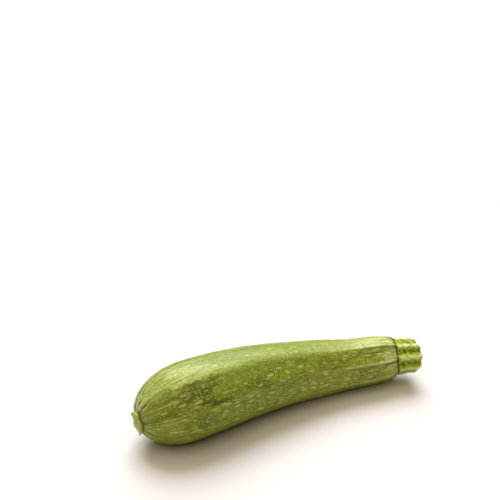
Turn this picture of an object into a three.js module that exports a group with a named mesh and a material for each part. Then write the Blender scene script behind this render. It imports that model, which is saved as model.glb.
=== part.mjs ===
// A light green courgette, as picked, lying on its side: the ribbed fruit, its cut stem and the
// button where the flower was. Millimetres; +X runs from the flower end to the stem, +Z is up,
// and z = 0 is the surface that it lies on.
import * as THREE from 'three';
import { mergeVertices } from 'three/addons/utils/BufferGeometryUtils.js';

// The axis, which the fruit and its stem share. It lies bowed on the surface.
const FRUIT_LENGTH = 166.1; // along the axis, between the fruit's two end faces
const BOW_TAKES = 1.7; // how much shorter the straight distance is
const BOW_AT_BELLY = 1.9; // how far the axis bows towards +Y
const BOW_AT_MIDDLE = 7.7;
const BOW_AT_NECK = 5;
const BOW_AT_STEM_TIP = -7.6;
const FLOWER_END_HEIGHT = 18;
const STEM_BASE_HEIGHT = 15;
const STEM_TIP_HEIGHT = 16.8;
const STEM_TIP_REACH = 16;
const NECK_BEND_FROM_STEM = 23; // where the axis turns up towards the stem

// The fruit's half outline.
const FLOWER_SEAT_RADIUS = 7.4;
const BELLY_RADIUS = 23;
const BELLY_FROM_FLOWER = 32;
const NECK_RADIUS = 15;
const NECK_FROM_STEM = 26.5;
const STEM_SEAT_RADIUS = 10.8;
const DOME_FULLNESS = 27.3; // lengths of the curve handles that round the outline
const BELLY_FULLNESS = 28;
const NECK_FULLNESS = 8;
const SHOULDER_FULLNESS = 23.3;
const OUTLINE_STEPS = [14, 30, 14]; // flower dome, long taper, neck and shoulder

// The ribs, by their angle from the side that faces -Y, turning towards the underside.
const RIB_ANGLES = [-118, -70, -26, 18, 62, 109, 155, 199];
const BODY_RIB_DEPTH = 0.7; // from the ribs down to the hollows between them
const END_RIB_DEPTH = 1.1;
const END_RIB_REACH = 14; // how far the deep ribs run in from each end
const COLUMNS = 48;

// Where the fruit's own weight flattens the skin on the surface.
const PRESS_DEPTH = 0.3;

// The cut stem. The knife went through it at a slant.
const STEM_LENGTH = 12.4; // along its middle
const STEM_FLARE = 0.4; // how far its base stands out past the fruit's end face
const STEM_CUT_RADIUS = 9.9;
const STEM_RIDGE_DEPTH = 1.8;
const STEM_CHAMFER = 0.6;
const CUT_SLANT = 3.6; // how much further the cut reaches on its long side than at its middle
const CUT_LONG_SIDE = -26;

// The flower button.
const BUTTON_INSET = 0.3; // how far the button stands in from the fruit's end face
const BUTTON_THICKNESS = 1.8;
const BUTTON_RIM = 0.6;
const BUTTON_DISH = 0.7;
const BUTTON_LOBES = 5;
const BUTTON_LOBE_DEPTH = 0.6;

const PIECE_GAP = 0.35;

// Half outline of the fruit: three Bezier curves, belly and neck included.
function fruitOutline() {
  const neckAt = FRUIT_LENGTH - NECK_FROM_STEM;
  const seat = new THREE.Vector2(FLOWER_SEAT_RADIUS, 0);
  const belly = new THREE.Vector2(BELLY_RADIUS, BELLY_FROM_FLOWER);
  const neck = new THREE.Vector2(NECK_RADIUS, neckAt);
  const shoulder = new THREE.Vector2(STEM_SEAT_RADIUS, FRUIT_LENGTH);
  const dome = new THREE.CubicBezierCurve(
    seat,
    seat.clone(),
    new THREE.Vector2(BELLY_RADIUS, BELLY_FROM_FLOWER - DOME_FULLNESS),
    belly,
  );
  const taper = new THREE.CubicBezierCurve(
    belly,
    new THREE.Vector2(BELLY_RADIUS, BELLY_FROM_FLOWER + BELLY_FULLNESS),
    new THREE.Vector2(NECK_RADIUS, neckAt - NECK_FULLNESS),
    neck,
  );
  const neckToStem = new THREE.CubicBezierCurve(
    neck,
    new THREE.Vector2(NECK_RADIUS, neckAt + SHOULDER_FULLNESS),
    shoulder.clone(),
    shoulder,
  );
  const curves = [dome, taper, neckToStem];
  const points = curves.flatMap((curve, i) => curve.getPoints(OUTLINE_STEPS[i]).slice(i ? 1 : 0));
  return [new THREE.Vector2(0, 0), ...points, new THREE.Vector2(0, FRUIT_LENGTH)];
}

// Radius of an outline at a distance along the axis.
function radiusAt(outline, along) {
  const next = outline.findIndex((point) => point.y > along);
  const a = outline[next - 1];
  const b = outline[next];
  return THREE.MathUtils.mapLinear(along, a.y, b.y, a.x, b.x);
}

// Height of the axis where the fruit rests on the hollow between two ribs, pressed a little flat.
function restHeight(radius) {
  return radius - BODY_RIB_DEPTH - PRESS_DEPTH;
}

// The axis bows gently sideways and lies at the height that the fruit's radius sets.
function sharedAxis(outline) {
  const middle = FRUIT_LENGTH / 2;
  const stemBase = FRUIT_LENGTH - BOW_TAKES;
  const stations = [
    new THREE.Vector3(0, 0, FLOWER_END_HEIGHT),
    new THREE.Vector3(BELLY_FROM_FLOWER, BOW_AT_BELLY, restHeight(BELLY_RADIUS)),
    new THREE.Vector3(middle, BOW_AT_MIDDLE, restHeight(radiusAt(outline, middle))),
    new THREE.Vector3(stemBase - NECK_BEND_FROM_STEM, BOW_AT_NECK, restHeight(NECK_RADIUS)),
    new THREE.Vector3(stemBase, 0, STEM_BASE_HEIGHT),
    new THREE.Vector3(stemBase + STEM_TIP_REACH, BOW_AT_STEM_TIP, STEM_TIP_HEIGHT),
  ];
  return new THREE.CatmullRomCurve3(stations);
}

// Point of a cross-section; the axis runs on straight beyond its ends.
function sectionPoint(axis, along, radius, angle) {
  const length = axis.getLength();
  const share = THREE.MathUtils.clamp(along / length, 0, 1);
  const ahead = axis.getTangentAt(share);
  const front = new THREE.Vector3(ahead.y, -ahead.x, 0).normalize();
  const down = new THREE.Vector3().crossVectors(ahead, front);
  return axis
    .getPointAt(share)
    .addScaledVector(ahead, along - share * length)
    .addScaledVector(front, radius * Math.cos(angle))
    .addScaledVector(down, radius * Math.sin(angle));
}

// 0 on each rib and -1 halfway between two ribs.
function ribWave(angle) {
  const start = RIB_ANGLES[0];
  const degrees = start + THREE.MathUtils.euclideanModulo(angle * THREE.MathUtils.RAD2DEG - start, 360);
  const bounds = [...RIB_ANGLES, start + 360];
  const next = bounds.findIndex((rib) => rib > degrees);
  const share = THREE.MathUtils.mapLinear(degrees, bounds[next - 1], bounds[next], 0, 1);
  return (Math.cos(2 * Math.PI * share) - 1) / 2;
}

// Turns an outline about the axis. The relief changes the radius, and the reach how far a point
// lies along the axis, by angle and place.
function turnedAlongAxis(outline, axis, relief, reach = (along) => along) {
  const lathe = new THREE.LatheGeometry(outline, COLUMNS);
  lathe.deleteAttribute('normal');
  lathe.deleteAttribute('uv');
  const geometry = mergeVertices(lathe);
  const position = geometry.getAttribute('position');
  for (let i = 0; i < position.count; i += 1) {
    const radius = Math.hypot(position.getX(i), position.getZ(i));
    const angle = Math.atan2(position.getX(i), position.getZ(i));
    const along = position.getY(i);
    const lifted = radius > 0 ? radius + relief(along, angle) : 0;
    const point = sectionPoint(axis, reach(along, radius, angle), lifted, angle);
    position.setXYZ(i, point.x, point.y, Math.max(point.z, 0));
  }
  geometry.computeVertexNormals();
  return geometry;
}

function fruitRelief(along, angle) {
  const fromEnd = Math.min(along, FRUIT_LENGTH - along);
  const nearEnd = Math.exp(-fromEnd / END_RIB_REACH);
  return THREE.MathUtils.lerp(BODY_RIB_DEPTH, END_RIB_DEPTH, nearEnd) * ribWave(angle);
}

function stemOutline() {
  const start = FRUIT_LENGTH + PIECE_GAP;
  const end = start + STEM_LENGTH;
  const cut = new THREE.Vector2(STEM_CUT_RADIUS, end - STEM_CHAMFER);
  const base = new THREE.Vector2(STEM_SEAT_RADIUS + STEM_FLARE, start);
  const side = new THREE.LineCurve(base, cut).getPoints(8);
  return [
    new THREE.Vector2(0, start),
    ...side,
    new THREE.Vector2(STEM_CUT_RADIUS - STEM_CHAMFER, end),
    new THREE.Vector2(0, end),
  ];
}

function stemRelief(along, angle) {
  return STEM_RIDGE_DEPTH * ribWave(angle);
}

// The slant grows from nothing at the fruit to its full size at the cut.
function stemReach(along, radius, angle) {
  const share = (along - FRUIT_LENGTH - PIECE_GAP) / STEM_LENGTH;
  const side = Math.cos(angle - CUT_LONG_SIDE * THREE.MathUtils.DEG2RAD);
  return along + (CUT_SLANT * share * side * radius) / STEM_CUT_RADIUS;
}

// Outer face first, since the axis runs from the flower end into the fruit.
function buttonOutline() {
  const inner = -PIECE_GAP;
  const outer = inner - BUTTON_THICKNESS;
  const radius = FLOWER_SEAT_RADIUS - BUTTON_INSET;
  return [
    new THREE.Vector2(0, outer + BUTTON_DISH),
    new THREE.Vector2(radius / 2, outer + BUTTON_DISH / 2),
    new THREE.Vector2(radius - BUTTON_RIM, outer),
    new THREE.Vector2(radius, outer + BUTTON_RIM),
    new THREE.Vector2(radius, inner - BUTTON_RIM / 2),
    new THREE.Vector2(radius - BUTTON_RIM, inner),
    new THREE.Vector2(0, inner),
  ];
}

function buttonRelief(along, angle) {
  return BUTTON_LOBE_DEPTH * Math.cos(BUTTON_LOBES * angle);
}

function piece(name, geometry, color, roughness) {
  const material = new THREE.MeshStandardMaterial({ color, roughness, metalness: 0 });
  const mesh = new THREE.Mesh(geometry, material);
  mesh.name = name;
  return mesh;
}

function buildCourgette() {
  const outline = fruitOutline();
  const axis = sharedAxis(outline);
  const courgette = new THREE.Group();
  courgette.add(piece('fruit', turnedAlongAxis(outline, axis, fruitRelief), 0x7b8530, 0.42));
  const stem = turnedAlongAxis(stemOutline(), axis, stemRelief, stemReach);
  courgette.add(piece('stem', stem, 0x8f9c2c, 0.7));
  courgette.add(
    piece('flower_button', turnedAlongAxis(buttonOutline(), axis, buttonRelief), 0xabb464, 0.65),
  );
  // The origin is the middle of the footprint, on the surface.
  const box = new THREE.Box3().setFromObject(courgette);
  courgette.position.set(-(box.min.x + box.max.x) / 2, -(box.min.y + box.max.y) / 2, 0);
  return courgette;
}

export default buildCourgette();
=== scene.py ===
"""A light green courgette lying on its side: ribbed fruit, cut stem and flower button.

The shape is worked out in millimetres, in the fruit's own measures: `along` runs down the bowed
axis from the flower end to the stem, and `angle` goes round it, from the side that faces -Y
towards the underside. Meshes are made in metres, in the frame of the CAD model.
"""

import math

import bpy
import numpy as np
from mathutils import Matrix, Vector

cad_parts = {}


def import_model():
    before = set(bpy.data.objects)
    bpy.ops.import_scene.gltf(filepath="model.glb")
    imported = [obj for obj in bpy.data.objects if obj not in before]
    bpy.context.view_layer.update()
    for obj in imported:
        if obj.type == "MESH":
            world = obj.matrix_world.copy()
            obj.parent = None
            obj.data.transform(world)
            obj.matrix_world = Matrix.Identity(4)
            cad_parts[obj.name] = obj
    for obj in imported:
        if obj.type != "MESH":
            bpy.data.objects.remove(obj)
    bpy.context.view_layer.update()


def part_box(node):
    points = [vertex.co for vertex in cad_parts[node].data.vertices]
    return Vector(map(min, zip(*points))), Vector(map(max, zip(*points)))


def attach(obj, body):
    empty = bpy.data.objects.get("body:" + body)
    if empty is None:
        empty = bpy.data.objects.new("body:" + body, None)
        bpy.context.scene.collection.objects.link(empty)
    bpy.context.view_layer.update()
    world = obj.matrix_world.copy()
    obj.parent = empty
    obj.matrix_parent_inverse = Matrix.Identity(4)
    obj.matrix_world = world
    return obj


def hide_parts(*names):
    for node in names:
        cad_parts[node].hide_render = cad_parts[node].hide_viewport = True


MM = 0.001
TURN = 2 * np.pi

# The axis, which the fruit and its stem share.
FRUIT_LENGTH = 166.1
BOW_TAKES = 1.7
BOW_AT_BELLY = 1.9
BOW_AT_MIDDLE = 7.7
BOW_AT_NECK = 5.0
BOW_AT_STEM_TIP = -7.6
FLOWER_END_HEIGHT = 18.0
STEM_BASE_HEIGHT = 15.0
STEM_TIP_HEIGHT = 16.8
STEM_TIP_REACH = 16.0
NECK_BEND_FROM_STEM = 23.0

# The fruit's half outline.
FLOWER_SEAT_RADIUS = 7.4
BELLY_RADIUS = 23.0
BELLY_FROM_FLOWER = 32.0
NECK_RADIUS = 15.0
NECK_FROM_STEM = 26.5
STEM_SEAT_RADIUS = 10.8
DOME_FULLNESS = 27.3
BELLY_FULLNESS = 28.0
NECK_FULLNESS = 8.0
SHOULDER_FULLNESS = 23.3
PIECE_GAP = 0.35

# The underside is pressed flat where it lies on the ground, with a soft turn at the edge.
PRESS_DEPTH = 0.3
PRESS_SOFTNESS = 0.05

# Ribs, in degrees: where each starts at the stem, and where it runs from the belly on.
RIBS_AT_STEM = [-118, -70, -26, 18, 62, 109, 155, 199]
RIBS_AT_BELLY = [-114, -61, -26, 17, 62, 109, 155, 199]
BODY_RIB_DEPTH = 0.7
STEM_ADDS_RIB_DEPTH = 0.5
RIB_SOFTNESS = 0.6
RIB_SOFTNESS_AT_ENDS = 0.15
FLOWER_END_REACH = 11
STEM_END_REACH = 13

# Near the stem each rib carries a thin ridge, painted pale as a highlight, with a crease along one
# side painted dark as its shadow.
RIDGE_HEIGHTS = [0.4, 0.2, 0.65, 0.5, 0.45, 0.5, 0.45, 0.5]
RIDGE_WIDTH = 0.75
RIDGE_REACH = 16
RIDGE_REACH_PER_HEIGHT = 14
CREASE_OFFSET = 1.35
CREASE_WIDTH = 0.55
CREASE_SHARE = 0.95

# Grooves that run into the flower end, the deep ones where the ribs begin, and their banks.
FLOWER_GROOVES = [-112, -92, -71, -50, -26, -6, 15, 38, 62, 86, 109, 132, 155, 199]
GROOVE_DEPTHS = [0.5, 0.2, 0.6, 0.2, 0.5, 0.2, 0.6, 0.2, 0.6, 0.25, 0.5, 0.2, 0.5, 0.5]
GROOVE_WIDTH = 0.75
GROOVE_WIDENS = 0.03
GROOVE_REACH = 8
GROOVE_REACH_PER_DEPTH = 8
BANK_OFFSET = 1.6
BANK_WIDTH = 1.1
BANK_SHARE = 0.35

# The height of a ridge that takes its full painted highlight, and the depth of a groove that takes
# its full painted shade.
FULL_RIDGE = 0.4
FULL_GROOVE = 0.6

# The facet on top, in degrees, and how far its pale streaks reach from the ends; on top at the stem
# end they are also a painted highlight.
TOP_FACET = -93
TOP_FACET_HALF = 28.5
TOP_FACET_SOFT = 9.5
STEM_PALE_REACH = 18
STEM_PALENESS = 1.5
FLOWER_PALE_REACH = 14
FLOWER_PALENESS = 0.9
COLLAR_REACH = 5
COLLAR_PALENESS = 1.1

# Height of the skin's unevenness.
FINE_BUMPS = 0.02
FINE_BUMPS_AT_ENDS = 0.11
SMALL_BUMPS = 0.03
BROAD_BUMPS = 0.12

# Darker patches in the skin: along, angle, their half sizes, and how dark they are.
DARK_PATCHES = [
    (19, -64, 5, 4, 0.8),
    (28, -46, 9, 7, 0.8),
    (34, -40, 8, 9, 1.0),
    (36, -22, 8, 2, 0.8),
    (29, -1, 4, 5, 0.6),
    (69, -30, 8, 3, 0.4),
    (100, -52, 6, 2, 0.4),
    (121, -46, 9, 4, 0.3),
    (148, -48, 13, 6, 0.5),
    (146, 5, 12, 4, 0.3),
    (70, 150, 14, 8, 0.8),
    (115, -150, 12, 6, 0.6),
    (95, 40, 12, 3, 0.4),
]
DARK_RAGGEDNESS = 0.35

# Pale blotches, listed the same way.
PALE_PATCHES = [
    (18, -45, 3.2, 1.6, 0.45),
    (23, -48, 2.2, 1.5, 0.45),
    (24, -27, 4.5, 1.2, 0.4),
    (25, 12, 4, 0.9, 0.5),
    (160, -42, 5, 3, 0.6),
    (158, -4, 4, 2, 0.4),
    (60, 120, 5, 2, 0.6),
    (30, 175, 4, 2, 0.6),
]
PALE_RAGGEDNESS = 0.4
# How many of its half sizes from its middle a patch is gone.
PATCH_EDGE = 1.25

# Small pits: along, angle and width.
PITS = [
    (19, -2, 1.0),
    (24, 24, 0.8),
    (82, -40, 1.2),
    (84, -35, 0.8),
    (10.5, -69, 0.8),
    (74, -88, 0.8),
    (50, 170, 1.0),
]
PIT_DEPTH = 0.3
# A scratch across the top of the neck: along and angle where it starts and where it ends.
SCRATCH = ((144.2, -90), (145.2, -64))
SCRATCH_WIDTH = 0.45
SCRATCH_DEPTH = 0.25
SCRATCH_DARKNESS = 0.7

# Where the stem and the button sit, the rims turn in and dark lines of painted shade run round.
STEM_RIM_TUCK = 0.8
STEM_RIM_REACH = 0.8
FLOWER_RIM_TUCK = 0.35
FLOWER_RIM_REACH = 0.6
STEM_LINE_WIDTH = 0.6
STEM_LINE_WIDENS_ON_RIBS = 1.6
STEM_LINE_DARKNESS = 1.6
FLOWER_LINE_WIDTH = 0.4
FLOWER_LINE_DARKNESS = 0.5

# The cut stem.
STEM_FLARE = 0.4
STEM_FOOT_RADIUS = STEM_SEAT_RADIUS + STEM_FLARE
STEM_CUT_RADIUS = 9.9
STEM_CLEARANCE = 0.05
STEM_STARTS_AT = FRUIT_LENGTH + STEM_CLEARANCE
STEM_RIDGE_DEPTH = 1.8
STEM_LENGTH = 12.4
STEM_FOOT_TUCK = 0.5
CUT_SLANT = 3.6
CUT_LONG_SIDE = -26
CUT_SCALLOP = 0.7
CUT_RIM_DEPTH = 1.5
CUT_RIM_SHARE = 0.11
CUT_SWELL = 0.7
PITH_DEPTH = 1.1
PITH_SHARE = 0.3

# The flower button.
BUTTON_INSET = 0.3
BUTTON_RADIUS = FLOWER_SEAT_RADIUS - BUTTON_INSET
BUTTON_THICKNESS = 1.8
BUTTON_FILL = 0.91
BUTTON_OVALNESS = 0.12
BUTTON_LOBES = 5
LOBE_SHARE = 0.085
LOBE_SWELL = 0.35
BUTTON_DISH = 1.1
BUTTON_DISH_SHARE = 0.55
BUTTON_SCAR = 0.35
BUTTON_SCAR_SHARE = 0.14
BUTTON_RIM_FROM = 0.86
BUTTON_RIM_DROP = 0.5
BUTTON_WAIST = 0.09

# How many rings and columns the meshes have.
FRUIT_RINGS = 270
FRUIT_COLUMNS = 350
RING_CROWDING = 0.75
STEM_SIDE_RINGS = 76
STEM_FACE_RINGS = 40
STEM_COLUMNS = 320
BUTTON_COLUMNS = 220

# The skin is unrolled for its spots and streaks, with the seam on the underside.
UNROLL_TURN = math.radians(80)
HALF_GIRTH = math.pi * BELLY_RADIUS

# The floor, the lights and the camera, in metres and degrees.
FLOOR_SIZE = 40
FLOOR_BELOW = 0.0001
FLOOR_COLOUR = (0.668, 0.652, 0.665, 1)
FILL_COLOUR = (1.0, 0.8, 0.45, 1)
FILL_STRENGTH = 0.09
CAMERA_LENS = 100
CAMERA_SENSOR = 36
CAMERA_AZIMUTH = -25.52
CAMERA_ELEVATION = 35
CAMERA_DISTANCE = 0.8129
CAMERA_CENTRE_HEIGHT = 0.02
CAMERA_TILT = 29.82
CAMERA_PAN = 0.84


# ---------------------------------------------------------------- shape helpers


def bezier(a, b, c, d, steps):
    t = np.linspace(0, 1, steps)[:, None]
    a, b, c, d = (np.array(point, float) for point in (a, b, c, d))
    return (1 - t) ** 3 * a + 3 * (1 - t) ** 2 * t * b + 3 * (1 - t) * t**2 * c + t**3 * d


def sampled(at, known_at, points):
    """Points of a curve known at some places, worked out at other places."""
    return np.stack([np.interp(at, known_at, column) for column in points.T], axis=-1)


def stacked(*values):
    """Values side by side in a new last axis."""
    return np.stack(np.broadcast_arrays(*values), axis=-1)


def fruit_outline():
    """Radius against distance along the axis, from the flower seat to the stem seat."""
    steps = 200
    neck_at = FRUIT_LENGTH - NECK_FROM_STEM
    seat = (FLOWER_SEAT_RADIUS, 0)
    belly = (BELLY_RADIUS, BELLY_FROM_FLOWER)
    neck = (NECK_RADIUS, neck_at)
    shoulder = (STEM_SEAT_RADIUS, FRUIT_LENGTH)
    before_belly = (BELLY_RADIUS, BELLY_FROM_FLOWER - DOME_FULLNESS)
    after_belly = (BELLY_RADIUS, BELLY_FROM_FLOWER + BELLY_FULLNESS)
    before_neck = (NECK_RADIUS, neck_at - NECK_FULLNESS)
    after_neck = (NECK_RADIUS, neck_at + SHOULDER_FULLNESS)
    dome = bezier(seat, seat, before_belly, belly, steps)
    taper = bezier(belly, after_belly, before_neck, neck, steps)
    to_stem = bezier(neck, after_neck, shoulder, shoulder, steps)
    return np.vstack([dome, taper[1:], to_stem[1:]])


OUTLINE = fruit_outline()


def radius_at(along):
    return np.interp(along, OUTLINE[:, 1], OUTLINE[:, 0])


def rest_height(radius):
    return radius - BODY_RIB_DEPTH - PRESS_DEPTH


def shared_axis(samples=2000):
    """Centripetal Catmull-Rom curve through six stations, sampled at even distances."""
    middle = FRUIT_LENGTH / 2
    stem_base = FRUIT_LENGTH - BOW_TAKES
    stations = np.array(
        [
            (0, 0, FLOWER_END_HEIGHT),
            (BELLY_FROM_FLOWER, BOW_AT_BELLY, rest_height(BELLY_RADIUS)),
            (middle, BOW_AT_MIDDLE, rest_height(radius_at(middle))),
            (stem_base - NECK_BEND_FROM_STEM, BOW_AT_NECK, rest_height(NECK_RADIUS)),
            (stem_base, 0, STEM_BASE_HEIGHT),
            (stem_base + STEM_TIP_REACH, BOW_AT_STEM_TIP, STEM_TIP_HEIGHT),
        ]
    )
    before = 2 * stations[0] - stations[1]
    after = 2 * stations[-1] - stations[-2]
    knots = np.vstack([before, stations, after])
    pieces = []
    for p0, p1, p2, p3 in zip(knots, knots[1:], knots[2:], knots[3:]):
        d0, d1, d2 = (np.sqrt(np.linalg.norm(b - a)) for a, b in ((p0, p1), (p1, p2), (p2, p3)))
        leave = ((p1 - p0) / d0 - (p2 - p0) / (d0 + d1) + (p2 - p1) / d1) * d1
        arrive = ((p2 - p1) / d1 - (p3 - p1) / (d1 + d2) + (p3 - p2) / d2) * d1
        pieces.append(bezier(p1, p1 + leave / 3, p2 - arrive / 3, p2, 500)[:-1])
    line = np.vstack([*pieces, stations[-1:]])
    steps = np.linalg.norm(np.diff(line, axis=0), axis=1)
    distance = np.concatenate([[0], np.cumsum(steps)])
    return distance[-1], sampled(np.linspace(0, distance[-1], samples), distance, line)


AXIS_LENGTH, AXIS = shared_axis()
AXIS_AHEAD = np.gradient(AXIS, axis=0)
AXIS_AHEAD /= np.linalg.norm(AXIS_AHEAD, axis=1)[:, None]


def place(along, radius, angle):
    """Points of cross-sections of the bowed axis, which runs on straight beyond its ends."""
    along, radius, angle = np.broadcast_arrays(along, radius, angle)
    share = np.clip(along / AXIS_LENGTH, 0, 1)
    where = share * (len(AXIS) - 1)
    index = np.arange(len(AXIS))
    centre = sampled(where, index, AXIS)
    ahead = sampled(where, index, AXIS_AHEAD)
    front = stacked(ahead[..., 1], -ahead[..., 0], 0)
    front /= np.linalg.norm(front, axis=-1, keepdims=True)
    down = np.cross(ahead, front)
    beyond = (along - share * AXIS_LENGTH)[..., None]
    out = front * np.cos(angle)[..., None] + down * np.sin(angle)[..., None]
    return centre + ahead * beyond + out * radius[..., None]


def unbent(along, radius, angle):
    """The place of a point on the fruit if its axis were straight: what the skin grows in."""
    return stacked(along, radius * np.cos(angle), radius * np.sin(angle))


def waves(points, size, seed, along_share=1.0):
    """Smooth noise of about unit strength: a sum of plane waves, `size` mm from crest to crest.

    An `along_share` under 1 spaces the crests out along the fruit, which draws them into streaks.
    """
    count = 28
    rng = np.random.default_rng(seed)
    directions = rng.normal(size=(count, 3))
    directions /= np.linalg.norm(directions, axis=1)[:, None]
    lengths = rng.uniform(0.6, 1.5, count)[:, None]
    phases = rng.uniform(0, TURN, count)
    squeezed = points * [along_share, 1, 1]
    total = np.zeros(points.shape[:-1])
    for wave, phase in zip(directions * lengths * TURN / size, phases):
        total += np.cos(squeezed @ wave + phase)
    return total * math.sqrt(2 / count)


def near(distance, width):
    return np.exp(-((distance / width) ** 2))


def turn_between(angle, degrees):
    """Signed turn in radians from a direction in degrees to an angle."""
    return (angle - np.radians(degrees) + np.pi) % TURN - np.pi


def rib_sectors(angle, ribs):
    """How far each angle is from one rib (0) to the next (1). `ribs` has one row per angle."""
    ribs = np.radians(ribs)
    start = ribs[..., 0]
    turned = start + (angle - start) % TURN
    share = np.zeros(angle.shape)
    for k in range(ribs.shape[-1]):
        low = ribs[..., k]
        high = ribs[..., k + 1] if k + 1 < ribs.shape[-1] else start + TURN
        inside = (turned >= low) & (turned <= high)
        share = np.where(inside, (turned - low) / (high - low), share)
    return share


def ribs_at(along):
    """Rib angles in degrees at each place along the fruit."""
    belly_to_stem = (along - BELLY_FROM_FLOWER) / (FRUIT_LENGTH - BELLY_FROM_FLOWER)
    share = np.clip(belly_to_stem, 0, 1)[..., None]
    return np.array(RIBS_AT_BELLY) + share * (np.array(RIBS_AT_STEM) - np.array(RIBS_AT_BELLY))


def hollow_at(share):
    """0 on the ribs and 1 midway between two."""
    return 4 * share * (1 - share)


def rib_profile(share, softness):
    """0 on a rib and -1 in the hollow; a small softness keeps the rib an edge."""
    drop = np.sqrt(hollow_at(share) ** 2 + softness**2) - softness
    return -drop / (np.sqrt(1 + softness**2) - softness)


# ---------------------------------------------------------------- meshes


def add_vectors(mesh, name, values):
    layer = mesh.attributes.new(name, "FLOAT_VECTOR", "POINT")
    layer.data.foreach_set("vector", np.asarray(values, np.float32).ravel())


def ring_faces(rows, columns):
    """Quads between neighbouring rings, and a fan of triangles round the pole at each end."""
    around = np.arange(columns)
    after = (around + 1) % columns
    near_side = 1 + columns * np.arange(rows - 1)[:, None]
    far_side = near_side + columns
    quads = stacked(near_side + around, near_side + after, far_side + after, far_side + around)
    last_pole = rows * columns + 1
    last_ring = last_pole - columns
    first_fan = stacked(0, 1 + after, 1 + around)
    last_fan = stacked(last_pole, last_ring + around, last_ring + after)
    return quads.reshape(-1, 4).tolist() + first_fan.tolist() + last_fan.tolist()


def ring_mesh(name, rings, poles, grown, marks):
    """A closed mesh of rings, in order along the axis, between two pole points.

    `grown` is each ring point's place on the unbent piece, and `marks` three masks for its
    material; the poles take those of the rings beside them.
    """
    verts = np.vstack([poles[:1], rings.reshape(-1, 3), poles[1:]]) * MM
    mesh = bpy.data.meshes.new(name)
    mesh.from_pydata(verts.tolist(), [], ring_faces(*rings.shape[:2]))
    mesh.polygons.foreach_set("use_smooth", [True] * len(mesh.polygons))
    for layer, values in (("grown", grown), ("marks", marks)):
        first, last = values[0].mean(axis=0), values[-1].mean(axis=0)
        add_vectors(mesh, layer, np.vstack([first, values.reshape(-1, 3), last]))
    mesh.update()
    piece = bpy.data.objects.new(name, mesh)
    bpy.context.scene.collection.objects.link(piece)
    return piece


def angles_round(columns):
    """Angles at even steps round the axis, in one row."""
    return np.linspace(0, TURN, columns, endpoint=False)[None, :]


# ---------------------------------------------------------------- fruit


def rib_relief(along, angle, at_flower, at_stem):
    """The broad ribs, 0 on a rib and hollow between two; they end sharp at both ends."""
    sharpening = (RIB_SOFTNESS - RIB_SOFTNESS_AT_ENDS) * np.maximum(at_stem, at_flower)
    depth = BODY_RIB_DEPTH * (1 - at_flower) + STEM_ADDS_RIB_DEPTH * at_stem
    return depth * rib_profile(rib_sectors(angle, ribs_at(along)), RIB_SOFTNESS - sharpening)


def stem_ridges(along, angle, radius):
    """Height, groove mark and ridge mark of the thin ridges and the creases beside them: the groove
    mark is painted shade in the creases, the ridge mark a painted highlight on the ridges.
    """
    ribs = ribs_at(along)
    height, groove, ridge = np.zeros((3, *angle.shape))
    for k, strength in enumerate(RIDGE_HEIGHTS):
        across = turn_between(angle, ribs[..., k]) * radius
        line = near(across, RIDGE_WIDTH)
        crease = near(across - CREASE_OFFSET, CREASE_WIDTH)
        reach = RIDGE_REACH + RIDGE_REACH_PER_HEIGHT * strength
        fade = strength * np.exp((along - FRUIT_LENGTH) / reach)
        height += fade * (line - CREASE_SHARE * crease)
        groove = np.maximum(groove, fade * crease / FULL_GROOVE)
        ridge = np.maximum(ridge, fade * line / FULL_RIDGE)
    return height, groove, ridge


def flower_grooves(along, angle, radius):
    """Height of the grooves that run out from the button, and their groove mark: painted shade in
    the grooves.
    """
    height, groove = np.zeros((2, *angle.shape))
    for degrees, strength in zip(FLOWER_GROOVES, GROOVE_DEPTHS):
        across = turn_between(angle, degrees) * radius
        line = near(across, GROOVE_WIDTH + GROOVE_WIDENS * along)
        bank = near(np.abs(across) - BANK_OFFSET, BANK_WIDTH)
        reach = GROOVE_REACH + GROOVE_REACH_PER_DEPTH * strength
        fade = strength * np.exp(-along / reach)
        height += fade * (BANK_SHARE * bank - line)
        groove = np.maximum(groove, fade * line / FULL_GROOVE)
    return height, groove


def pale_streaks_and_highlight(along, angle, grown):
    """Ridge mark of the pale streaks: on the facet on top at both ends, and round the stem; on top
    at the stem end they are also a painted highlight.
    """
    from_stem = FRUIT_LENGTH - along
    off_top = np.abs(np.degrees(turn_between(angle, TOP_FACET)))
    on_top = np.clip((TOP_FACET_HALF - off_top) / TOP_FACET_SOFT, 0, 1)
    stem_end = STEM_PALENESS * np.exp(-from_stem / STEM_PALE_REACH)
    flower_end = FLOWER_PALENESS * near(along, FLOWER_PALE_REACH)
    collar = COLLAR_PALENESS * np.exp(-from_stem / COLLAR_REACH)
    noise = waves(grown, size=2.2, seed=7, along_share=0.03)
    streaks = np.clip(0.6 + 0.5 * noise, 0, 1)
    return np.maximum((stem_end + flower_end) * on_top, collar) * streaks


def bumps(grown, at_ends):
    """The unevenness of the skin, which is drawn out along the fruit."""
    fine = FINE_BUMPS + FINE_BUMPS_AT_ENDS * at_ends
    height = fine * waves(grown, size=2.6, seed=3, along_share=0.06)
    height += BROAD_BUMPS * waves(grown, size=16, seed=4, along_share=0.35)
    height += SMALL_BUMPS * waves(grown, size=4, seed=5, along_share=0.5)
    return height


def wounds(along, angle, radius):
    """Height and groove mark of the pits and the scratch; the pits are too small for a mark."""
    height = np.zeros(angle.shape)
    for pit_along, degrees, width in PITS:
        across = turn_between(angle, degrees) * radius
        height -= PIT_DEPTH * near(np.hypot(along - pit_along, across), 0.6 * width)
    (first_along, first), (last_along, last) = SCRATCH
    share = (np.degrees(turn_between(angle, 0)) - first) / (last - first)
    aside = along - first_along - (last_along - first_along) * share
    cut = near(aside, SCRATCH_WIDTH) * np.clip(12 * share, 0, 1) * np.clip(12 - 12 * share, 0, 1)
    return height - SCRATCH_DEPTH * cut, SCRATCH_DARKNESS * cut


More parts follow.
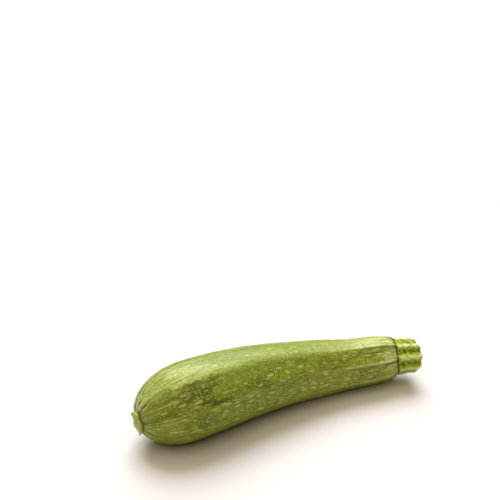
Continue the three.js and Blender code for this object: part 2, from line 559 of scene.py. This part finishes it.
def patches(along, angle, radius, places, ragged):
    """A mask of oval patches with ragged edges."""
    mask = np.zeros(angle.shape)
    for patch_along, degrees, half_long, half_wide, strength in places:
        across = turn_between(angle, degrees) * radius
        reach = np.hypot((along - patch_along) / half_long, across / half_wide)
        mask = np.maximum(mask, strength * np.clip(PATCH_EDGE - reach + ragged, 0, 1))
    return mask


def seat_lines(along, angle):
    """Groove mark of the painted shade in dark lines round both seats; the stem's is wider on the
    ribs.
    """
    on_rib = 1 - hollow_at(rib_sectors(angle, ribs_at(along)))
    width = STEM_LINE_WIDTH + STEM_LINE_WIDENS_ON_RIBS * on_rib**3
    stem_line = STEM_LINE_DARKNESS * np.exp((along - FRUIT_LENGTH) / width)
    return stem_line + FLOWER_LINE_DARKNESS * np.exp(-along / FLOWER_LINE_WIDTH)


def fruit_relief(along, angle, radius):
    """Height of the skin over the plain outline, and its marks: groove, ridge, dark patch."""
    at_flower = np.exp(-along / FLOWER_END_REACH)
    at_stem = np.exp((along - FRUIT_LENGTH) / STEM_END_REACH)
    grown = unbent(along, radius, angle)
    ribs = rib_relief(along, angle, at_flower, at_stem)
    ridges, creases, painted_ridge_highlight = stem_ridges(along, angle, radius)
    grooves, painted_groove_shade = flower_grooves(along, angle, radius)
    hurt, scratch = wounds(along, angle, radius)
    height = ribs + ridges + grooves + hurt + bumps(grown, np.maximum(at_stem, at_flower))

    pale_edge = PALE_RAGGEDNESS * waves(grown, size=2.4, seed=8, along_share=0.4)
    pale = patches(along, angle, radius, PALE_PATCHES, pale_edge)
    dark_edge = DARK_RAGGEDNESS * waves(grown, size=7, seed=6, along_share=0.5)
    dark = patches(along, angle, radius, DARK_PATCHES, dark_edge)
    # The groove mark is painted shade in the creases, grooves and seat lines, with the real
    # scratch; the ridge mark is painted highlight on the thin ridges and the top at the stem end,
    # with the real pale streaks and blotches.
    groove = np.maximum.reduce([creases, painted_groove_shade, scratch, seat_lines(along, angle)])
    ridge = np.maximum.reduce([painted_ridge_highlight, pale_streaks_and_highlight(along, angle, grown), pale])
    return height, stacked(np.clip(groove, 0, 1), ridge, dark)


def pressed(height):
    """What would reach below the ground lies flat on it."""
    rounded = np.sqrt(height**2 + PRESS_SOFTNESS**2)
    return 0.5 * (height + rounded) - PRESS_SOFTNESS / 2


def build_fruit():
    # Rings crowd towards both ends, where the outline turns and the relief is finest.
    share = np.linspace(0, 1, FRUIT_RINGS)
    eased = share - RING_CROWDING * np.sin(TURN * share) / TURN
    walked = np.concatenate([[0], np.cumsum(np.hypot(*np.diff(OUTLINE, axis=0).T))])
    section = sampled(eased * walked[-1], walked, OUTLINE)
    angle = angles_round(FRUIT_COLUMNS)
    along, plain, angle = np.broadcast_arrays(section[:, 1:], section[:, :1], angle)
    height, marks = fruit_relief(along, angle, plain)
    # The rims turn in a little where the stem and the button sit.
    stem_tuck = STEM_RIM_TUCK * np.exp((along - FRUIT_LENGTH) / STEM_RIM_REACH)
    flower_tuck = FLOWER_RIM_TUCK * np.exp(-along / FLOWER_RIM_REACH)
    rings = place(along, plain + height - stem_tuck - flower_tuck, angle)
    rings[..., 2] = pressed(rings[..., 2])
    poles = place(np.array([0.0, FRUIT_LENGTH]), 0.0, 0.0)
    return ring_mesh("courgette_fruit", rings, poles, unbent(along, plain, angle), marks)


# ---------------------------------------------------------------- stem


def stem_side(angle, hollow, cut_wave):
    """Rings up the side of the stem: their along and radius, grown places and marks."""
    up = np.linspace(0, 1, STEM_SIDE_RINGS)[:, None]
    plain = STEM_FOOT_RADIUS + (STEM_CUT_RADIUS - STEM_FOOT_RADIUS) * up
    along = STEM_STARTS_AT + up * (STEM_LENGTH + cut_wave)
    grown = unbent(along, plain, angle)
    grains = 0.15 * waves(grown, size=1.8, seed=11) + 0.08 * waves(grown, size=0.85, seed=12)
    grains += 0.15 * waves(grown, size=4, seed=13)
    # The foot is drawn in and smooth, with painted shade, and the rim of the cut is rounded off.
    tuck = STEM_FOOT_TUCK * np.exp(-22 * up)
    rim = CUT_RIM_DEPTH * np.clip(1 - (1 - up) / CUT_RIM_SHARE, 0, 1) ** 3
    ridges = -STEM_RIDGE_DEPTH * hollow**2.2
    radius = plain + ridges - tuck - rim + grains * np.clip(10 * up, 0, 1)
    shaded = np.maximum(hollow, 1.6 * np.exp(-15 * up))
    return along, radius, grown, stacked(shaded, grains, 0)


def stem_face(angle, hollow, cut_wave, edge_radius):
    """Rings from the edge of the cut to its middle, given as those of the side are."""
    out = np.linspace(1, 0.04, STEM_FACE_RINGS + 1)[1:, None]
    radius = edge_radius * out
    swell = CUT_SWELL * (1 - out**4) - PITH_DEPTH * near(out, PITH_SHARE)
    along = STEM_STARTS_AT + STEM_LENGTH + cut_wave * out**1.2 + swell
    grown = unbent(along, radius, angle)
    spongy = 0.12 * waves(grown, size=1.4, seed=14) * (1 - near(1 - out, 0.1))
    return along + spongy, radius, grown, stacked(hollow, 1 - out, 1)


def build_stem():
    """A ridged stub, cut slantwise; the cut dips where the hollows between the ridges end."""
    angle = angles_round(STEM_COLUMNS)
    hollow = hollow_at(rib_sectors(angle, ribs_at(np.full(angle.shape, FRUIT_LENGTH))))
    slant = CUT_SLANT * np.cos(angle - math.radians(CUT_LONG_SIDE))
    cut_wave = slant - CUT_SCALLOP * hollow**2.2
    side = stem_side(angle, hollow, cut_wave)
    edge_radius = side[1][-1:]
    face = stem_face(angle, hollow, cut_wave, edge_radius)
    along, radius, grown, marks = (np.vstack(pair) for pair in zip(side, face))
    poles = place(np.array([STEM_STARTS_AT, along[-1].mean()]), 0.0, 0.0)
    return ring_mesh("courgette_stem", place(along, radius, angle), poles, grown, marks)


# ---------------------------------------------------------------- flower button


def button_section(inner):
    """Along and share of the radius, from the middle of the outer face round to the fruit."""
    across = np.concatenate([np.linspace(0.04, BUTTON_RIM_FROM, 30), np.linspace(0.88, 1, 12)])
    dish = BUTTON_DISH * near(across, BUTTON_DISH_SHARE)
    scar = BUTTON_SCAR * near(across, BUTTON_SCAR_SHARE)
    to_rim = np.clip((across - BUTTON_RIM_FROM) / (1 - BUTTON_RIM_FROM), 0, 1)
    face = inner - BUTTON_THICKNESS + dish - scar + BUTTON_RIM_DROP * to_rim**2
    side = np.linspace(0, 1, 14)[1:]
    side_along = face[-1] + (inner - face[-1]) * side
    side_share = 1 - BUTTON_WAIST * np.sin(0.9 * np.pi * side) - 0.03 * side
    along = np.concatenate([face, side_along])[:, None]
    return along, np.concatenate([across, side_share])[:, None]


def build_button():
    """A thin oval disc with five lobes and a dished face, closed off flat at the fruit."""
    angle = angles_round(BUTTON_COLUMNS)
    inner = -PIECE_GAP
    along, share = button_section(inner)
    lobes = np.cos(BUTTON_LOBES * angle + 0.9)
    oval = BUTTON_FILL - BUTTON_OVALNESS * np.cos(2 * angle)
    uneven = 0.02 * np.cos(3 * angle + 1) + 0.015 * np.cos(11 * angle)
    outline = BUTTON_RADIUS * (oval + LOBE_SHARE * lobes + uneven)
    grown = unbent(along, share * outline, angle)
    # The side towards the fruit stays plain.
    keep = np.clip((inner - along) / 0.5, 0, 1)
    swell = -LOBE_SWELL * lobes * share**3
    swell += 0.1 * waves(grown, size=2.2, seed=21) + 0.05 * waves(grown, size=0.9, seed=22)
    edge = 0.05 * waves(grown, size=1.1, seed=23)
    rings = place(along + swell * keep, share * outline + edge * keep, angle)
    poles = place(np.array([along[0, 0] - 0.05, inner]), 0.0, 0.0)
    marks = stacked(share, 0.5 + 0.5 * lobes, keep)
    return ring_mesh("courgette_flower_button", rings, poles, grown, marks)


# ---------------------------------------------------------------- materials


def colour(red, green, blue):
    """A linear colour from the usual 0-255 screen values."""
    levels = np.array([red, green, blue]) / 255
    linear = np.where(levels > 0.04045, ((levels + 0.055) / 1.055) ** 2.4, levels / 12.92)
    return (*linear.tolist(), 1.0)


class Material:
    """Short forms for building a node material on the piece's own grown coordinates."""

    def __init__(self, name):
        self.material = bpy.data.materials.new(name)
        self.material.use_nodes = True
        self.tree = self.material.node_tree
        self.tree.nodes.clear()
        self.grown = self.node("Attribute", attribute_name="grown").outputs["Vector"]
        marks = self.node("Attribute", attribute_name="marks").outputs["Vector"]
        self.marks = self.node("SeparateXYZ", {"Vector": marks}).outputs

    def node(self, kind, inputs=None, **settings):
        node = self.tree.nodes.new("ShaderNode" + kind)
        for key, value in settings.items():
            setattr(node, key, value)
        for key, value in (inputs or {}).items():
            if isinstance(value, bpy.types.NodeSocket):
                self.tree.links.new(value, node.inputs[key])
            else:
                node.inputs[key].default_value = value
        return node

    def stretch(self, where, cells):
        """A place in cells that measure so many mm in x, y and z."""
        inputs = {0: where, 1: tuple(1 / size for size in cells)}
        return self.node("VectorMath", inputs, operation="MULTIPLY").outputs[0]

    def unrolled(self):
        """The skin unrolled: mm along, mm round the belly, with its seam on the underside."""
        inputs = {"Vector": self.grown, "Angle": UNROLL_TURN}
        turned = self.node("VectorRotate", inputs, rotation_type="X_AXIS").outputs[0]
        parts = self.node("SeparateXYZ", {"Vector": turned}).outputs
        turn = self.math("ARCTAN2", parts[2], parts[1])
        return self.node("CombineXYZ", {0: parts[0], 1: self.times(turn, BELLY_RADIUS)}).outputs[0]

    def noise(self, where, detail=2.0, roughness=0.5, output="Fac"):
        inputs = {"Vector": where, "Scale": 1.0, "Detail": detail, "Roughness": roughness}
        return self.node("TexNoise", inputs).outputs[output]

    def grain(self, cells, detail=2.0, roughness=0.5):
        """Noise in cells of so many mm on the piece."""
        return self.noise(self.stretch(self.grown, cells), detail, roughness)

    def math(self, operation, a, b=0.0):
        return self.node("Math", {0: a, 1: b}, operation=operation).outputs[0]

    def times(self, a, b):
        return self.math("MULTIPLY", a, b)

    def band(self, value, low, high, start=0.0, end=1.0):
        """From start to end as the value goes from low to high, smoothly, and no further."""
        inputs = {"Value": value, "From Min": low, "From Max": high, "To Min": start, "To Max": end}
        return self.node("MapRange", inputs, interpolation_type="SMOOTHSTEP").outputs[0]

    def mix(self, share, a, b):
        return self.node("MixRGB", {"Fac": share, "Color1": a, "Color2": b}).outputs["Color"]

    def layered(self, base, layers):
        """Colours laid over the base one after another, each as strong as its mask."""
        for mask, paint in layers:
            base = self.mix(mask, base, paint)
        return base

    def spots(self, flat, length, width, least, most, share):
        """Long spots in rows along the unrolled skin, one in each cell of length by width mm.

        Their half sizes are random between least and most, in cells; `share` of the cells keep one.
        """
        ragged = self.noise(self.stretch(self.grown, (1.4, 0.8, 0.8)), output="Color")
        shift = self.node("VectorMath", {0: ragged, 1: (0.16, 0.14, 0.0)}, operation="MULTIPLY")
        cells = self.stretch(flat, (length, width, 1.0))
        where = self.node("VectorMath", {0: cells, 1: shift.outputs[0]}, operation="ADD")
        inputs = {"Vector": where.outputs[0], "Scale": 1.0, "Randomness": 0.8}
        cell = self.node("TexVoronoi", inputs, voronoi_dimensions="2D")
        chance = self.node("SeparateColor", {0: cell.outputs["Color"]}).outputs
        size = self.band(chance[0], 0.0, 1.0, least, most)
        apart = self.math("DIVIDE", cell.outputs["Distance"], size)
        spot = self.band(apart, 0.65, 1.15, 1.0, 0.0)
        kept = self.band(chance[1], share - 0.02, share + 0.02, 1.0, 0.0)
        faint = self.band(chance[2], 0.0, 1.0, 0.6, 1.0)
        # None is cut in two by the seam.
        seam = HALF_GIRTH / width
        round_the_fruit = self.node("SeparateXYZ", {"Vector": cells}).outputs[1]
        clear = self.band(self.math("ABSOLUTE", round_the_fruit), seam - 0.9, seam - 0.4, 1.0, 0.0)
        return self.times(self.times(self.times(spot, kept), clear), faint)

    def finish(self, base, roughness, height, depth, **sockets):
        inputs = {"Height": height, "Distance": depth * MM, "Strength": 1.0}
        bump = self.node("Bump", inputs).outputs[0]
        inputs = {"Base Color": base, "Roughness": roughness, "Normal": bump}
        shader = self.node("BsdfPrincipled", inputs)
        for name, value in sockets.items():
            shader.inputs[name.replace("_", " ")].default_value = value
        self.node("OutputMaterial", {"Surface": shader.outputs[0]})
        return self.material


def skin_material():
    """Mottled green, with pale flecks in rows, streaks at both ends and the marks of the mesh,
    among them painted shade and highlights; a faint painted sheen on top, and painted shade low
    down.
    """
    skin = Material("courgette_skin")
    groove, ridge, patch = (skin.marks[k] for k in range(3))
    parts = skin.node("SeparateXYZ", {"Vector": skin.grown}).outputs
    along, down = parts[0], parts[2]
    flat = skin.unrolled()
    on_top = skin.band(down, -18.0, -9.0, 1.0, 0.0)
    low_down = skin.band(down, 1.0, 11.0)
    at_flower = skin.band(along, 2.0, 34.0, 1.0, 0.0)
    at_stem = skin.band(along, FRUIT_LENGTH - 30.0, FRUIT_LENGTH, 0.0, 1.0)
    at_ends = skin.math("MAXIMUM", at_flower, skin.times(at_stem, 0.55))

    # The mottling is weaker at the flower end and on top.
    calm = skin.math("MAXIMUM", skin.times(at_flower, 0.8), skin.times(on_top, 0.45))
    uneven = skin.math("SUBTRACT", 1.0, calm)
    broad = skin.grain((24, 9, 9), 3.0, 0.6)
    mottle = skin.grain((5, 2.2, 2.2), 4.0, 0.65)
    small = skin.grain((2.6, 1.3, 1.3), 3.0, 0.65)
    speckle = skin.grain((1.3, 0.7, 0.7), 3.0, 0.6)

    # Streaks run along the fruit, mostly at its ends.
    streaks = skin.noise(skin.stretch(flat, (26, 1.7, 1)), 3.0, 0.6)
    pale_strength = skin.band(at_ends, 0.0, 0.8, 0.15, 0.8)
    dark_strength = skin.band(at_ends, 0.0, 0.8, 0.1, 0.5)
    pale_streak = skin.times(skin.band(streaks, 0.46, 0.66), pale_strength)
    dark_streak = skin.times(skin.band(streaks, 0.3, 0.44, 1.0, 0.0), dark_strength)

    # The dark patches are blotchy.
    blotch = skin.grain((2.6, 1.1, 1.1), 5.0, 0.7)
    dark = skin.times(patch, skin.band(blotch, 0.3, 0.55, 0.5, 1.0))

    # The flecks are faint in some rows and on top.
    rows = skin.band(skin.grain((50, 3.2, 3.2), 1.0), 0.38, 0.54, 0.4, 1.0)
    dots = skin.spots(flat, length=2.3, width=1.5, least=0.13, most=0.32, share=0.75)
    flecks = skin.spots(flat, length=7.8, width=2.9, least=0.11, most=0.29, share=0.95)
    flecks = skin.times(skin.times(flecks, rows), skin.band(on_top, 0.0, 1.0, 1.0, 0.45))

    base = skin.mix(skin.band(broad, 0.35, 0.65), colour(102, 118, 27), colour(120, 137, 38))
    layers = [
        (skin.band(along, 85.0, 130.0, 0.0, 0.3), colour(158, 166, 52)),
        (skin.times(skin.band(mottle, 0.42, 0.66, 0.0, 0.7), uneven), colour(67, 81, 8)),
        (skin.times(skin.band(small, 0.48, 0.68, 0.0, 0.5), uneven), colour(80, 90, 14)),
        (skin.times(skin.band(speckle, 0.46, 0.64, 0.0, 0.75), uneven), colour(159, 173, 66)),
        (pale_streak, colour(170, 178, 84)),
        (dark_streak, colour(84, 94, 2)),
        (skin.times(dark, 0.95), colour(58, 68, 1)),
        # A faint painted sheen on top.
        (skin.times(on_top, 0.05), colour(176, 184, 128)),
        (skin.times(dots, 0.8), colour(170, 180, 88)),
        (flecks, colour(190, 200, 118)),
        # Painted highlight on the thin ridges and the top at the stem end, with the real pale
        # streaks and blotches.
        (skin.times(ridge, 0.75), colour(198, 207, 148)),
        # Painted shade in the creases, the grooves and round the seats, with the real scratch.
        (skin.times(groove, 0.9), colour(54, 66, 1)),
    ]
    base = skin.layered(base, layers)
    # Low down the green is made a darker, yellower one: painted shade on the underside.
    underside_shade = {"Fac": low_down, "Color1": base, "Color2": (0.93, 0.94, 0.25, 1)}
    base = skin.node("MixRGB", underside_shade, blend_type="MULTIPLY").outputs["Color"]

    fine = skin.grain((0.9, 0.45, 0.45), 3.0, 0.6)
    height = skin.math("ADD", skin.times(fine, 0.5), skin.times(flecks, 0.5))
    roughness = skin.band(mottle, 0.3, 0.7, 0.29, 0.37)
    shine = {"Specular_IOR_Level": 0.34, "Specular_Tint": (1, 0.98, 0.4, 1)}
    return skin.finish(base, roughness, height, 0.06, **shine)


def stem_material():
    """Pale bristly ridges, darker hollows with painted shade deep in them and round the foot, and a
    spongy pale face where it is cut.
    """
    stem = Material("courgette_stem")
    hollow, grain, cut = (stem.marks[k] for k in range(3))
    fine = stem.grain((1.0, 0.7, 0.7), 4.0, 0.65)
    depth = stem.math("SUBTRACT", hollow, stem.times(grain, 0.5))
    pith = stem.mix(stem.band(fine, 0.4, 0.7), colour(200, 205, 150), colour(226, 228, 186))
    base = stem.mix(stem.band(depth, 0.25, 0.7), colour(206, 212, 150), colour(150, 174, 10))
    layers = [
        # Painted shade deep in the hollows and round the foot.
        (stem.band(depth, 0.8, 1.05, 0.0, 0.7), colour(70, 90, 1)),
        (stem.band(fine, 0.5, 0.7, 0.0, 0.6), colour(206, 212, 130)),
        (stem.band(fine, 0.3, 0.45, 0.5, 0.0), colour(96, 112, 2)),
        (stem.times(cut, stem.band(grain, 0.04, 0.12)), pith),
    ]
    base = stem.layered(base, layers)
    return stem.finish(base, 0.62, fine, 0.15, Specular_IOR_Level=0.25)


def button_material():
    """Pale corky green, browner at the scar in the middle and greener at the fruit."""
    button = Material("courgette_flower_button")
    share, keep = button.marks[0], button.marks[2]
    fine = button.grain((0.8, 0.8, 0.8), 4.0, 0.6)
    base = button.mix(button.band(fine, 0.35, 0.7), colour(156, 168, 70), colour(188, 197, 108))
    layers = [
        (button.band(share, 0.1, 0.45, 0.7, 0.0), colour(128, 118, 60)),
        (button.band(keep, 0.0, 1.0, 0.4, 0.0), colour(96, 110, 16)),
    ]
    return button.finish(button.layered(base, layers), 0.58, fine, 0.1)


# ---------------------------------------------------------------- stage, light and camera


def add_floor():
    bpy.ops.mesh.primitive_plane_add(size=FLOOR_SIZE, location=(0, 0, -FLOOR_BELOW))
    floor = bpy.context.object
    floor.name = "floor"
    material = bpy.data.materials.new("floor")
    material.use_nodes = True
    shader = material.node_tree.nodes["Principled BSDF"]
    shader.inputs["Base Color"].default_value = FLOOR_COLOUR
    shader.inputs["Roughness"].default_value = 0.9
    shader.inputs["Specular IOR Level"].default_value = 0.1
    floor.data.materials.append(material)


def add_sun(name, energy, spread, tint, source):
    """A soft light, `spread` degrees wide, that falls from the source towards the courgette."""
    sun = bpy.data.objects.new(name, bpy.data.lights.new(name, "SUN"))
    sun.data.energy = energy
    sun.data.angle = math.radians(spread)
    sun.data.color = tint
    sun.location = source
    sun.rotation_euler = (-sun.location).to_track_quat("-Z", "Y").to_euler()
    bpy.context.scene.collection.objects.link(sun)


def add_world():
    """A weak warm fill from all round; past the floor the camera sees a plain white wall."""
    world = bpy.data.worlds.new("studio")
    bpy.context.scene.world = world
    world.use_nodes = True
    nodes = world.node_tree.nodes
    links = world.node_tree.links
    fill = nodes["Background"]
    fill.inputs["Color"].default_value = FILL_COLOUR
    fill.inputs["Strength"].default_value = FILL_STRENGTH
    wall = nodes.new("ShaderNodeBackground")
    wall.inputs["Color"].default_value = (1, 1, 1, 1)
    seen = nodes.new("ShaderNodeLightPath")
    choice = nodes.new("ShaderNodeMixShader")
    links.new(seen.outputs["Is Camera Ray"], choice.inputs[0])
    links.new(fill.outputs[0], choice.inputs[1])
    links.new(wall.outputs[0], choice.inputs[2])
    links.new(choice.outputs[0], nodes["World Output"].inputs["Surface"])


def add_light():
    """A soft light from behind, a wide warm one overhead, and the fill."""
    cool, warm = (0.93, 0.965, 1.03), (1.0, 0.87, 0.64)
    add_sun("softbox_behind", energy=4.35, spread=46, tint=cool, source=(0.34, 0.94, 1.2))
    add_sun("softbox_overhead", energy=1.9, spread=88, tint=warm, source=(-0.18, -0.08, 1.0))
    add_world()


def add_camera(shift):
    """Looks down on the courgette from the front left; it lies low in the frame."""
    azimuth = math.radians(CAMERA_AZIMUTH)
    elevation = math.radians(CAMERA_ELEVATION)
    level = math.cos(elevation)
    away = Vector((math.sin(azimuth) * level, -math.cos(azimuth) * level, math.sin(elevation)))
    centre = Vector(place(FRUIT_LENGTH / 2, 0, 0) * MM + shift)
    centre.z = CAMERA_CENTRE_HEIGHT
    camera = bpy.data.objects.new("camera", bpy.data.cameras.new("camera"))
    camera.data.lens = CAMERA_LENS
    camera.data.sensor_width = CAMERA_SENSOR
    camera.location = centre + CAMERA_DISTANCE * away
    # It aims above the courgette and a little to the left of it.
    tilt = math.radians(90 - CAMERA_TILT)
    camera.rotation_euler = (tilt, 0, math.radians(CAMERA_PAN + CAMERA_AZIMUTH))
    bpy.context.scene.collection.objects.link(camera)
    bpy.context.scene.camera = camera


def box_centre(low, high):
    return (np.array(low) + np.array(high)) / 2


def main():
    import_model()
    pieces = [
        (build_fruit(), "fruit", "skin", skin_material()),
        (build_stem(), "stem", "stem", stem_material()),
        (build_button(), "flower_button", "button", button_material()),
    ]
    # The pieces share one origin: the middle of the CAD fruit's footprint.
    fruit = pieces[0][0]
    corners = np.array([vertex.co for vertex in fruit.data.vertices])
    low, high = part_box("fruit")
    shift = box_centre(low, high) - box_centre(corners.min(axis=0), corners.max(axis=0))
    shift[2] = 0
    for piece, node, slot, material in pieces:
        piece.data.transform(Matrix.Translation(shift))
        piece.data.materials.append(material)
        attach(piece, "root")
        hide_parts(node)
    add_floor()
    add_light()
    add_camera(shift)
    bpy.context.scene.view_settings.view_transform = "Standard"


main()
